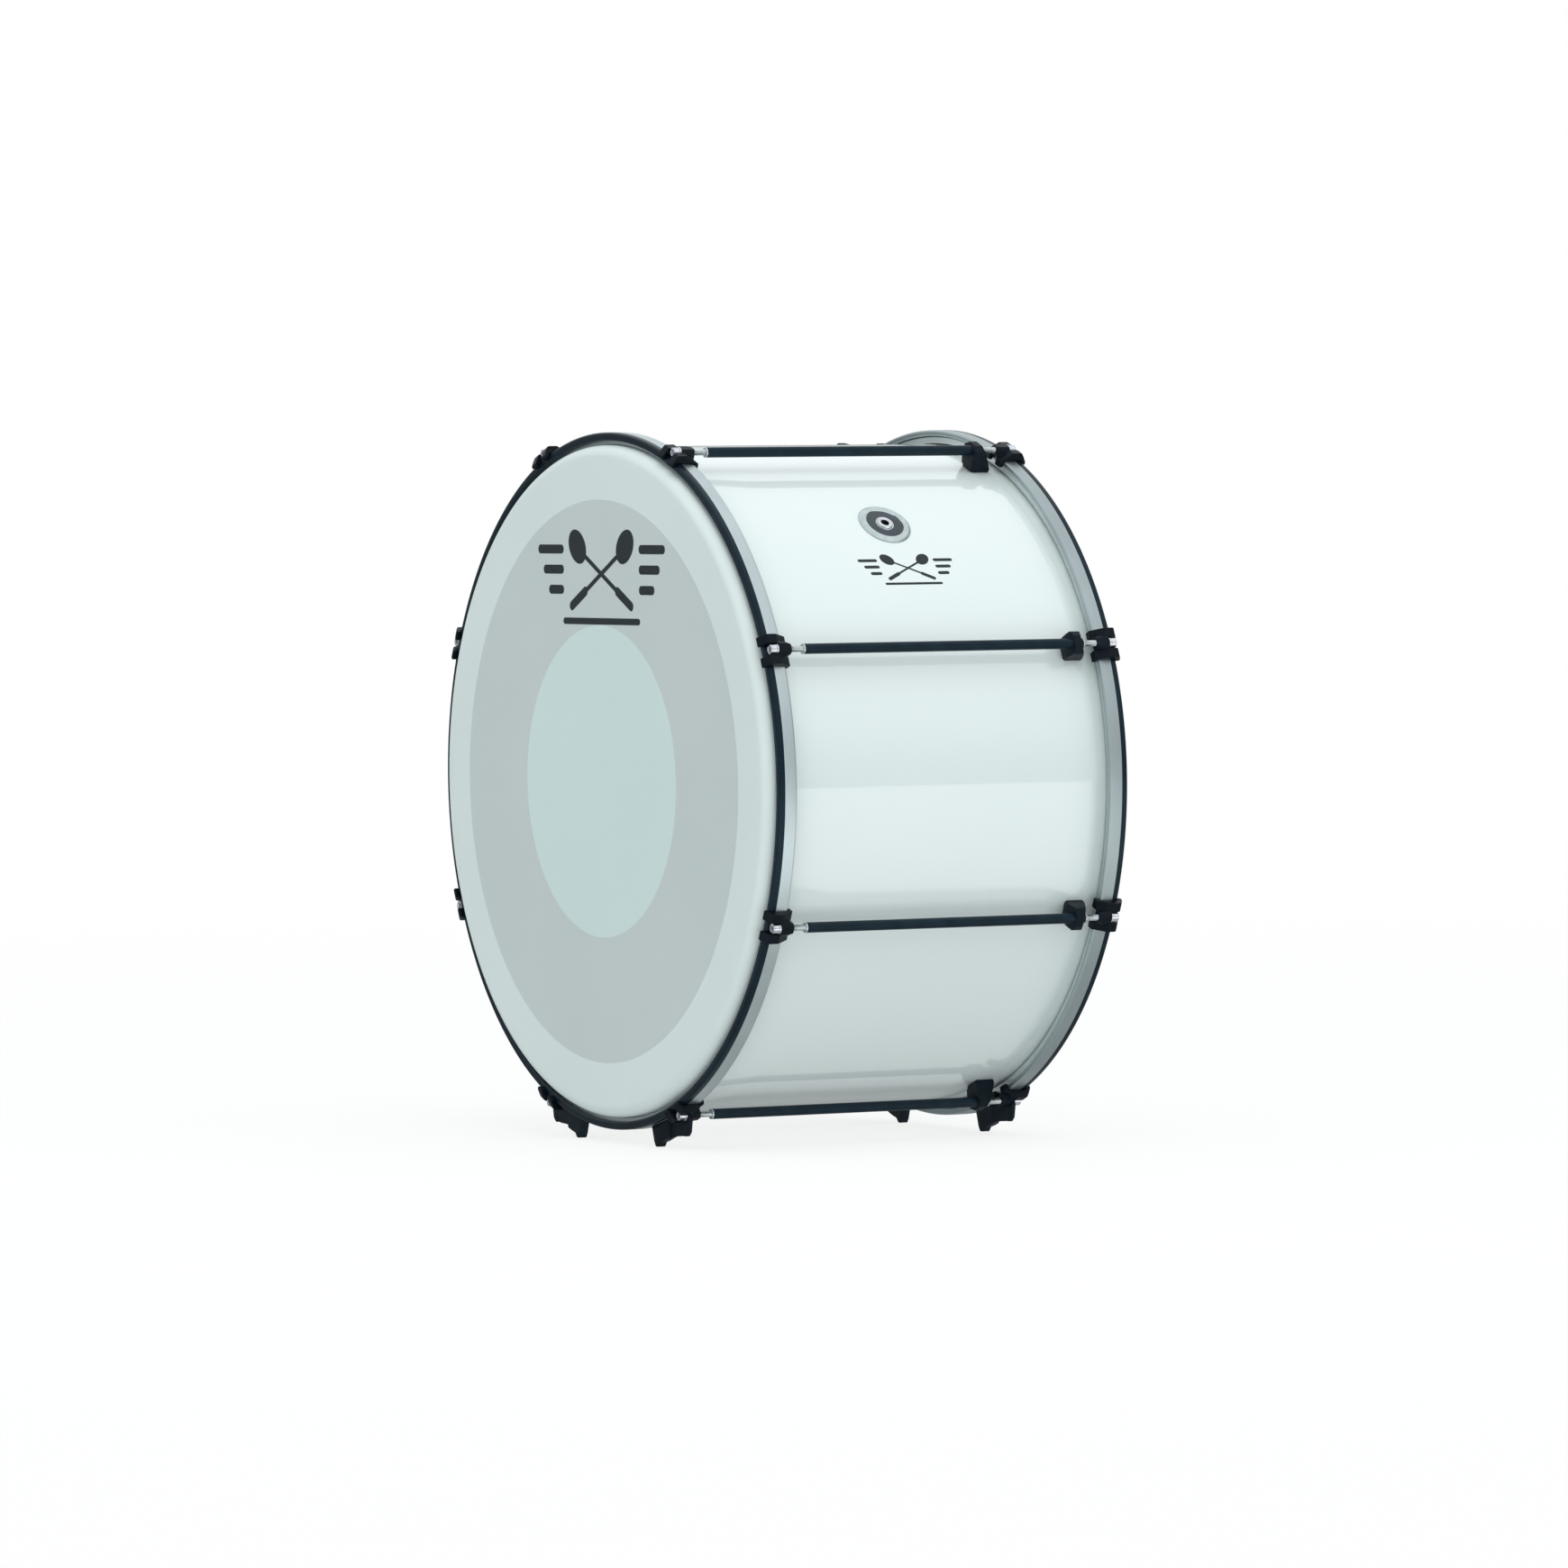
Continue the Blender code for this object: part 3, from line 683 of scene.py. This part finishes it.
# -------------------------------------------------------------------- tubes, inserts, screws
tube_profile = [
    (TUBE_R - 0.25, -155.9),
    (TUBE_R, -155.65),
    (TUBE_R, -100.0),
    (TUBE_R, 0.0),
    (TUBE_R, 100.0),
    (TUBE_R, 155.65),
    (TUBE_R - 0.25, 155.9),
    (4.1, 155.9),
    (4.1, -155.9),
]
tube_mesh = lathe("tube", tube_profile, TUBE_COAT, 40, centre_z=0.0)
insert_profile = [
    (3.15, 157.1),
    (3.5, 157.5),
    (4.75, 157.5),
    (5.1, 157.15),
    (5.1, 156.2),
    (4.95, 156.0),
    (4.0, 155.95),
    (4.0, 136.0),
    (3.15, 136.0),
]
insert_rear = lathe("insert_rear", insert_profile, INSERT, 40, centre_z=0.0)
insert_front = lathe("insert_front", insert_profile, INSERT, 40, True, True, 0.0)


def screw_head_mesh():
    """Socket-head cap: knurled side, chamfered top, six-sided socket with a conical floor. Head outwards, at +y."""
    sides = 72
    base = SCREW_SEAT + 1.6
    top = base + 6.6
    bm = bmesh.new()

    def ring(radius, y, hexagon=False, knurl=0.0):
        made = []
        for i in range(sides):
            a = 2 * math.pi * i / sides
            r = radius - (knurl if i % 2 else 0.0)
            if hexagon:
                r = radius / math.cos((a % (math.pi / 3)) - math.pi / 6)
            made.append(bm.verts.new((r * MM * math.cos(a), y * MM, r * MM * math.sin(a))))
        return made

    rings = [
        ring(2.5, top - 3.2, True),
        ring(2.5, top - 0.35, True),
        ring(2.85, top, True),
        ring(4.45, top),
        ring(4.85, top - 0.22),
        ring(5.0, top - 0.75),
        ring(5.0, top - 1.0, False, 0.13),
        ring(5.0, base + 0.9, False, 0.13),
        ring(5.0, base + 0.6),
        ring(4.9, base + 0.15),
        ring(4.7, base),
        ring(3.0, base),
        ring(3.0, 180.0),
        ring(2.6, 179.4),
        ring(2.6, 178.6),
    ]
    for one, two in zip(rings, rings[1:]):
        for i in range(sides):
            j = (i + 1) % sides
            bm.faces.new((one[i], one[j], two[j], two[i]))
    floor = bm.verts.new((0.0, (top - 4.1) * MM, 0.0))
    end = bm.verts.new((0.0, 178.6 * MM, 0.0))
    for i in range(sides):
        j = (i + 1) % sides
        bm.faces.new((rings[0][j], rings[0][i], floor))
        bm.faces.new((rings[-1][i], rings[-1][j], end))
    return finish_mesh(bm, "screw_head", STEEL, 32.0)


def thread_mesh():
    """Right-hand M6 x 1 thread as one continuous helical ridge, from inside the tube to under the head."""
    seg, pitch = 24, 1.0
    low, high = 136.2, 179.0
    steps = int((high - low - 1.5) / pitch) * seg
    bm = bmesh.new()
    crest, root = [], []
    for k in range(steps + 1):
        # advancing along +y, which points away from the head's back, turns clockwise seen from the head
        a = -2 * math.pi * k / seg
        taper = min(1.0, k / (1.5 * seg))
        rc = 2.35 + 0.62 * taper
        y = low + pitch * k / seg
        crest.append(bm.verts.new((rc * MM * math.cos(a), y * MM, rc * MM * math.sin(a))))
        root.append(bm.verts.new((2.38 * MM * math.cos(a), (y + pitch / 2) * MM, 2.38 * MM * math.sin(a))))
    for k in range(steps):
        bm.faces.new((crest[k], crest[k + 1], root[k + 1], root[k]))
        if k + seg + 1 <= steps:
            bm.faces.new((root[k], root[k + 1], crest[k + seg + 1], crest[k + seg]))
    foot = bm.verts.new((0.0, (low - 0.2) * MM, 0.0))
    loop = crest[: seg + 1] + [root[0]]
    for i in range(len(loop)):
        bm.faces.new((loop[i], loop[(i + 1) % len(loop)], foot))
    tip = bm.verts.new((0.0, (high - 0.1) * MM, 0.0))
    loop = root[steps - seg :] + [crest[steps]]
    for i in range(len(loop)):
        bm.faces.new((loop[i], loop[(i + 1) % len(loop)], tip))
    return finish_mesh(bm, "screw_thread", THREAD, 80.0)


washer_profile = rounded([(3.2, SCREW_SEAT), (5.5, SCREW_SEAT), (5.5, SCREW_SEAT + 1.5), (3.2, SCREW_SEAT + 1.5)], 0.3, 3)
head_mesh = screw_head_mesh()
screw_thread = thread_mesh()
washer_rear = lathe("washer_rear", washer_profile, STEEL, 48, centre_z=0.0)
washer_front = lathe("washer_front", washer_profile, STEEL, 48, True, True, 0.0)

# --------------------------------------------------------------------------- claws and feet
CLAW_HALF, SLOT_HALF = 15.4, 5.9
JAW = [
    (-5.5, RIM_FACE + 0.25),
    (-9.8, RIM_FACE + 0.25),
    (-9.8, 200.2),
    (-7.0, 200.2),
    (-2.0, 197.6),
    (2.0, 195.0),
    (2.6, 193.6),
    (2.6, 184.5),
    (-5.6, 170.8),
    (-12.4, 170.8),
    (-12.4, HOOP_INNER - 0.25),
    (-5.5, HOOP_INNER - 0.25),
]


def claw_blank(slot_side=0):
    """A claw for the rear end, in its own frame: x outwards from the rod, y along the drum, z round the hoop."""
    points = []
    for y, half, bottom, shoulder, top, narrow in (
        (SCREW_SEAT - 0.2, 7.3, -5.5, 2.0, 5.0, 4.4),
        (176.5, 7.3, -5.5, 2.0, 5.0, 4.4),
        (171.3, 5.5, -5.2, 1.6, 4.7, 3.2),
    ):
        for u in (-1, 1):
            points += [(bottom, y, u * half), (shoulder, y, u * half), (top, y, u * narrow)]
    tools = [
        ("UNION", prism_blank(JAW, -CLAW_HALF, -SLOT_HALF)),
        ("UNION", prism_blank(JAW, SLOT_HALF, CLAW_HALF)),
    ]
    if slot_side:
        far, near = slot_side * 30.0, -slot_side * 6.3
        tools.append(
            ("DIFFERENCE", prism_blank([(-4.7, 181.2), (30.0, 181.2), (30.0, 185.5), (-4.7, 185.5)], min(far, near), max(far, near)))
        )
    return boolean(hull_blank(points), tools)


def claw_mesh(name, slot_side=0):
    return moulded(claw_blank(slot_side), name, POWDER, cuts=[("DIFFERENCE", rod_blank(3.35, 150.0, 215.0))])


claw_plain = claw_mesh("claw_plain")
claw_right = claw_mesh("claw_slot_right", -1)
claw_left = claw_mesh("claw_slot_left", 1)
claws = {"rear": {0: claw_plain, 7: claw_right, 6: claw_left}}
claws["front"] = {k: mirrored(m, 1, m.name + "_front") for k, m in claws["rear"].items()}


def foot_blank():
    """Foot plate of the rear right claw, level, as (x, z) from the rod's axis."""
    cx = LUG_R * math.cos(math.radians(-67.5))
    cz = LUG_R * math.sin(math.radians(-67.5))
    ground = -AXIS_Z - cz

    def local(w, u):
        a = math.radians(-67.5)
        return (w * math.cos(a) - u * math.sin(a), w * math.sin(a) + u * math.cos(a))

    def on_hoop(x):
        r = RIM_R + 0.45
        return (x - cx, -math.sqrt(r * r - x * x) - cz)

    toe = [
        on_hoop(71.0),
        (75.6 - cx, ground + 5.0),
        (77.9 - cx, ground + 1.2),
        (79.2 - cx, ground),
        (83.8 - cx, ground),
        (85.4 - cx, ground + 1.2),
        (88.0 - cx, ground + 4.6),
        (95.0 - cx, ground + 6.4),
        (103.0 - cx, ground + 9.2),
    ]
    toe_radii = [1.0, 4.0, 2.0, 0.0, 0.0, 2.0, 4.0, 5.0, 6.0]
    bow = [on_hoop(x) for x in (102.0, 98.0, 94.0, 90.0, 86.5, 83.0, 79.5, 76.0, 73.5)]
    outline = toe + [
        (111.5 - cx, ground + 11.6),
        (126.6 - cx, ground + 12.6),
        (127.4 - cx, ground + 14.8),
        (130.0 - cx, ground + 14.8),
        (130.8 - cx, ground + 12.8),
        (135.2 - cx, ground + 12.8),
        (139.6 - cx, ground + 17.0),
        local(6.2, 6.0),
        local(-4.4, 6.0),
        local(-4.4, -17.6),
    ] + [on_hoop(x) for x in (114.0, 110.0, 106.0)]
    radii = toe_radii + [6.0, 0.8, 0.8, 0.8, 0.8, 2.5, 2.0, 1.0, 0.6, 0.6] + [0.0] * 3
    plate = prism_blank(rounded(outline + bow, radii + [0.0] * 9, 5), 181.5, 185.2, "xz")
    thick = prism_blank(rounded(toe + [on_hoop(104.5)] + bow, toe_radii[:-1] + [1.0, 0.5] + [0.0] * 9, 5), 181.1, 188.6, "xz")
    mesh = boolean(plate, [("UNION", thick), ("DIFFERENCE", rod_blank(3.45, 150.0, 215.0))])
    return modified(mesh, [("BEVEL", {"width": 0.5 * MM, "segments": 2, "limit_method": "ANGLE", "angle_limit": math.radians(50.0)})])


def dressed(mesh, name, mat, sharp=40.0):
    bm = bmesh.new()
    bm.from_mesh(mesh)
    return finish_mesh(bm, name, mat, sharp)


foot_right = dressed(foot_blank(), "foot_right", PLASTIC)
foot_left = mirrored(foot_right, 0, "foot_left")

# --------------------------------------------------------------------------------- brackets
BRACKET = (
    (-17.2, 142.8, 164.0, 9.6),
    (-16.0, 142.4, 163.4, 10.2),
    (-10.0, 141.6, 160.0, 10.8),
    (-3.0, 142.0, 157.0, 11.6),
    (3.0, 142.8, 154.5, 11.8),
    (7.2, 144.6, 152.4, 6.0),
)
bracket_base = [(w, y, u) for w in (-19.6, -16.6) for y, half in ((143.0, 8.2), (145.0, 10.4), (162.4, 10.4), (164.5, 8.2)) for u in (-half, half)]
bracket_mesh = moulded(
    boolean(
        hull_blank([(w, y, u) for w, y0, y1, half in BRACKET for y in (y0, y1) for u in (-half, half)]),
        [("UNION", hull_blank(bracket_base))],
    ),
    "bracket",
    PLASTIC,
    smooth=6,
    cuts=[("DIFFERENCE", rod_blank(TUBE_R + 0.2, 120.0, 180.0))],
)

# ------------------------------------------------------------------- place the repeated pieces
for number, angle in enumerate(LUG_ANGLES, start=1):
    place = lug_place(angle)
    turn = (0.0, -math.radians(angle), 0.0)
    piece(f"tube_{number}_coated", tube_mesh, "drum", f"tension_tube_{number}", place, turn)
    piece(f"tube_{number}_rear_insert", insert_rear, "drum", None, place, turn)
    piece(f"tube_{number}_front_insert", insert_front, "drum", None, place, turn)
    piece(f"bracket_{number}_moulded", bracket_mesh, "drum", f"tube_bracket_{number}", place, turn)
    for end in ("front", "rear"):
        claw = claws[end].get(number, claws[end][0])
        piece(f"{end}_claw_{number}_cast", claw, f"{end}_rim", f"{end}_claw_{number}", place, turn)
        # the front screws are the rear ones turned about the rod circle's radius, so that the thread keeps its hand
        own = Matrix.Rotation(-math.radians(angle), 4, "Y")
        if end == "front":
            own = own @ Matrix.Rotation(math.pi, 4, "X")
        e = own.to_euler()
        piece(f"{end}_screw_{number}_head", head_mesh, f"{end}_screw_{number}", f"{end}_tension_screw_{number}", place, e)
        piece(f"{end}_screw_{number}_thread", screw_thread, f"{end}_screw_{number}", None, place, e)
        washer = washer_front if end == "front" else washer_rear
        piece(f"{end}_screw_{number}_washer", washer, f"{end}_screw_{number}", None, place, turn)

foot_meshes = {"right": foot_right, "left": foot_left}
for side, angle in (("right", -67.5), ("left", -112.5)):
    for end in ("front", "rear"):
        mesh = foot_meshes[side]
        if end == "front":
            mesh = mirrored(mesh, 1, mesh.name + "_front")
            mesh.set_sharp_from_angle(angle=math.radians(40.0))
        piece(f"{end}_foot_{side}_plate", mesh, f"{end}_rim", f"{end}_foot_{side}", lug_place(angle))


# ---------------------------------------------------------------------------------- emblems
def strip(points, width):
    """Outline of a straight bar with round ends between two (a, b) points."""
    p, q = Vector(points[0]), Vector(points[1])
    d = (q - p).normalized()
    n = Vector((-d.y, d.x))
    out = []
    for centre, sign in ((q, 1), (p, -1)):
        for k in range(9):
            a = math.pi * (k / 8.0 - 0.5)
            out.append(centre + (d * math.cos(a) * sign + n * math.sin(a) * sign) * (width / 2.0))
    return [(v.x, v.y) for v in out]


def blob(centre, rx, ry, tilt, n=36):
    t = math.radians(tilt)
    out = []
    for k in range(n):
        a = 2 * math.pi * k / n
        x, y = rx * math.cos(a), ry * math.sin(a)
        out.append((centre[0] + x * math.cos(t) - y * math.sin(t), centre[1] + x * math.sin(t) + y * math.cos(t)))
    return out


def emblem_shapes():
    """Crossed mallets between two sets of stripes, over a plain bar: closed outlines, 262 wide and 97 tall."""
    shapes = []
    for s in (-1, 1):
        shapes.append([(s * x, y) for x, y in blob((49.0, 28.5), 15.0, 20.0, -52.0)])
        shapes.append(strip([(s * -61.0, -30.0), (s * 42.0, 23.5)], 5.0))
        shapes.append(strip([(s * -61.0, -30.0), (s * -33.0, -15.5)], 9.5))
        for length, y in ((53.0, 26.0), (42.0, 6.0), (31.0, -14.0)):
            shapes.append(strip([(s * 82.0, y), (s * (78.0 + length - 4.5), y)], 9.0))
    shapes.append(strip([(-76.0, -45.0), (76.0, -45.0)], 6.5))
    return shapes


def emblem_mesh(name, scale, centre, mapping, mat, layers):
    """Thin ink on a surface: mapping(a, b, height) gives the point for emblem coordinates in mm."""
    bm = bmesh.new()
    for number, outline in enumerate(emblem_shapes()):
        low, high = layers
        high += 0.006 * number
        pts = [(centre[0] + a * scale, centre[1] + b * scale) for a, b in outline]
        dense = []
        for i, p in enumerate(pts):
            q = pts[(i + 1) % len(pts)]
            count = max(1, int(math.hypot(q[0] - p[0], q[1] - p[1]) / 6.0))
            dense += [(p[0] + (q[0] - p[0]) * k / count, p[1] + (q[1] - p[1]) * k / count) for k in range(count)]
        mid = (sum(p[0] for p in dense) / len(dense), sum(p[1] for p in dense) / len(dense))
        top = [bm.verts.new(mapping(a, b, high)) for a, b in dense]
        bottom = [bm.verts.new(mapping(a, b, low)) for a, b in dense]
        cap, base = bm.verts.new(mapping(*mid, high)), bm.verts.new(mapping(*mid, low))
        for i in range(len(dense)):
            j = (i + 1) % len(dense)
            bm.faces.new((top[i], top[j], cap))
            bm.faces.new((bottom[j], bottom[i], base))
            bm.faces.new((top[j], top[i], bottom[i], bottom[j]))
    mesh = plain_mesh(bm, name)
    mesh.materials.append(mat)
    return mesh


def on_head(a, b, h):
    return (a * MM, -(FILM_OUT - 0.02 + h) * MM, (AXIS_Z + b) * MM)


EMBLEM_AT = (5.0, 203.0)
piece("front_head_emblem", emblem_mesh("front_head_emblem", 1.0, EMBLEM_AT, on_head, INK, (0.0, 0.08)), "front_rim")


def on_shell(a, b, h):
    angle = math.radians(39.2) + b / SHELL_R
    r = (SHELL_R + h) * MM
    return (r * math.cos(angle), (a + 0.6) * MM, AXIS_Z * MM + r * math.sin(angle))


piece("shell_emblem", emblem_mesh("shell_emblem", 0.405, (0.0, 0.0), on_shell, INK, (-0.05, 0.06)), "drum")

# ------------------------------------------------------------------------------------- stage
bm = bmesh.new()
rings = []
for radius in (0.0, 0.6, 1.2, 2.5, 5.0, 9.0, 14.0):
    rings.append(
        [bm.verts.new((0.0, 0.0, 0.0))]
        if radius == 0.0
        else [bm.verts.new((radius * math.cos(2 * math.pi * i / 96), radius * math.sin(2 * math.pi * i / 96), 0.0)) for i in range(96)]
    )
for one, two in zip(rings, rings[1:]):
    for i in range(96):
        j = (i + 1) % 96
        if len(one) == 1:
            bm.faces.new((one[0], two[i], two[j]))
        else:
            bm.faces.new((one[i], one[j], two[j], two[i]))
floor_mesh = bpy.data.meshes.new("studio_floor")
bm.to_mesh(floor_mesh)
bm.free()
floor = bpy.data.objects.new("studio_floor", floor_mesh)
STAGE.objects.link(floor)
ft = Tree("pale_floor")
fco = ft.object_coords()
fsep = ft.node("ShaderNodeSeparateXYZ")
ft.link(fco, fsep.inputs[0])
away = ft.math(
    "SQRT",
    ft.math("ADD", ft.math("MULTIPLY", fsep.outputs[0], fsep.outputs[0]), ft.math("MULTIPLY", fsep.outputs[1], fsep.outputs[1])),
)
ft.put("Base Color", ft.mix(ft.span(ft.noise(fco, 2.0, 3.0), 0.3, 0.7, 0.0, 1.0), (0.955, 0.96, 0.96), (0.965, 0.968, 0.968)))
ft.put("Roughness", 0.9)
ft.put("Specular IOR Level", 0.0)
ft.put("Alpha", ft.span(away, 1.2, 6.0, 0.2, 0.0))
floor_mesh.materials.append(ft.mat)
floor.location.z = -0.0002
floor.visible_glossy = False

# ------------------------------------------------------------------------------- light, world
world = bpy.data.worlds.new("soft_studio")
bpy.context.scene.world = world
world.use_nodes = True
wt = world.node_tree
background = wt.nodes["Background"]


def wnode(kind, **values):
    n = wt.nodes.new(kind)
    for k, v in values.items():
        setattr(n, k, v)
    return n


def wspan(source, a, b, c, d, smooth=True):
    n = wnode("ShaderNodeMapRange")
    n.interpolation_type = "SMOOTHSTEP" if smooth else "LINEAR"
    for k, v in (("From Min", a), ("From Max", b), ("To Min", c), ("To Max", d)):
        n.inputs[k].default_value = v
    wt.links.new(source, n.inputs["Value"])
    return n.outputs["Result"]


def wmath(op, a, b):
    n = wnode("ShaderNodeMath", operation=op)
    for i, v in enumerate((a, b)):
        if isinstance(v, (int, float)):
            n.inputs[i].default_value = v
        else:
            wt.links.new(v, n.inputs[i])
    return n.outputs[0]


direction = wnode("ShaderNodeTexCoord").outputs["Generated"]
axes = wnode("ShaderNodeSeparateXYZ")
wt.links.new(direction, axes.inputs[0])
height = axes.outputs[2]
sky = wmath("ADD", wspan(height, -0.03, 0.45, 0.26, 1.06), wspan(height, 0.6, 1.0, 0.0, -0.06))
below = wspan(height, -0.56, -0.53, 0.0, 1.0)
table = wmath("MULTIPLY", wspan(height, -0.036, -0.031, 1.0, 0.0), below)
table = wmath("MULTIPLY", table, wspan(axes.outputs[0], -0.45, -0.1, 0.0, 1.0))
level = wmath("ADD", wmath("MULTIPLY", sky, wspan(height, -0.60, -0.54, 1.9, 1.0)), wmath("MULTIPLY", table, 1.08))
side = wmath("MULTIPLY", wspan(axes.outputs[0], -0.8, 0.9, 1.0, 1.02), wspan(axes.outputs[1], 0.6, 0.85, 1.0, 0.55))
ahead = wmath("SUBTRACT", 1.0, wmath("MULTIPLY", wspan(axes.outputs[1], -0.9, 0.1, 0.17, 0.0), wspan(height, -0.1, 0.3, 0.0, 1.0)))
level = wmath("MULTIPLY", wmath("MULTIPLY", level, side), ahead)
camera_ray = wnode("ShaderNodeLightPath").outputs["Is Camera Ray"]
final = wnode("ShaderNodeMix", data_type="FLOAT")
wt.links.new(camera_ray, final.inputs[0])
wt.links.new(level, final.inputs[2])
final.inputs[3].default_value = 1.0
tint = wnode("ShaderNodeMix", data_type="RGBA")
wt.links.new(wmath("MULTIPLY", wspan(height, 0.0, 0.35, 0.0, 1.0), wmath("SUBTRACT", 1.0, camera_ray)), tint.inputs[0])
cool = wnode("ShaderNodeMix", data_type="RGBA")
wt.links.new(camera_ray, cool.inputs[0])
cool.inputs[6].default_value = (0.96, 1.0, 1.005, 1.0)
cool.inputs[7].default_value = (1.0, 1.0, 1.0, 1.0)
wt.links.new(cool.outputs[2], tint.inputs[6])
tint.inputs[7].default_value = (0.97, 1.0, 1.012, 1.0)
wt.links.new(tint.outputs[2], background.inputs["Color"])
wt.links.new(final.outputs[0], background.inputs["Strength"])


def softbox(name, location, target, size, power):
    data = bpy.data.lights.new(name, "AREA")
    data.shape = "RECTANGLE"
    data.size, data.size_y = size
    data.energy = power
    obj = bpy.data.objects.new(name, data)
    STAGE.objects.link(obj)
    obj.location = location
    obj.rotation_euler = (Vector(target) - Vector(location)).to_track_quat("-Z", "Y").to_euler()
    return obj


overhead = softbox("overhead_softbox", (1.2, -0.4, 3.6), (0.0, 0.0, 0.4), (3.0, 2.4), 20.0)
overhead.visible_glossy = False  # the lacquer mirrors only the even dome

# ------------------------------------------------------------------------------------ camera
azimuth, elevation, roll = math.radians(60.55), math.radians(1.85), math.radians(-0.5)
back = Vector((math.sin(azimuth) * math.cos(elevation), -math.cos(azimuth) * math.cos(elevation), math.sin(elevation)))
right = Vector((math.cos(azimuth), math.sin(azimuth), 0.0))
up = back.cross(right).normalized()
right_r = right * math.cos(roll) + up * math.sin(roll)
up_r = up * math.cos(roll) - right * math.sin(roll)
distance = 9.858
centre = Vector((0.0, 0.0, AXIS_Z * MM))
camera_data = bpy.data.cameras.new("camera")
camera_data.sensor_width = 36.0
camera_data.lens = 227.10
camera_data.clip_start, camera_data.clip_end = 0.1, 100.0
camera = bpy.data.objects.new("camera", camera_data)
STAGE.objects.link(camera)
place = Matrix((right_r, up_r, back)).transposed().to_4x4()
place.translation = centre + back * distance + right_r * 0.00346 - up_r * 0.00725
camera.matrix_world = place
bpy.context.scene.camera = camera
bpy.context.scene.view_settings.view_transform = "Standard"
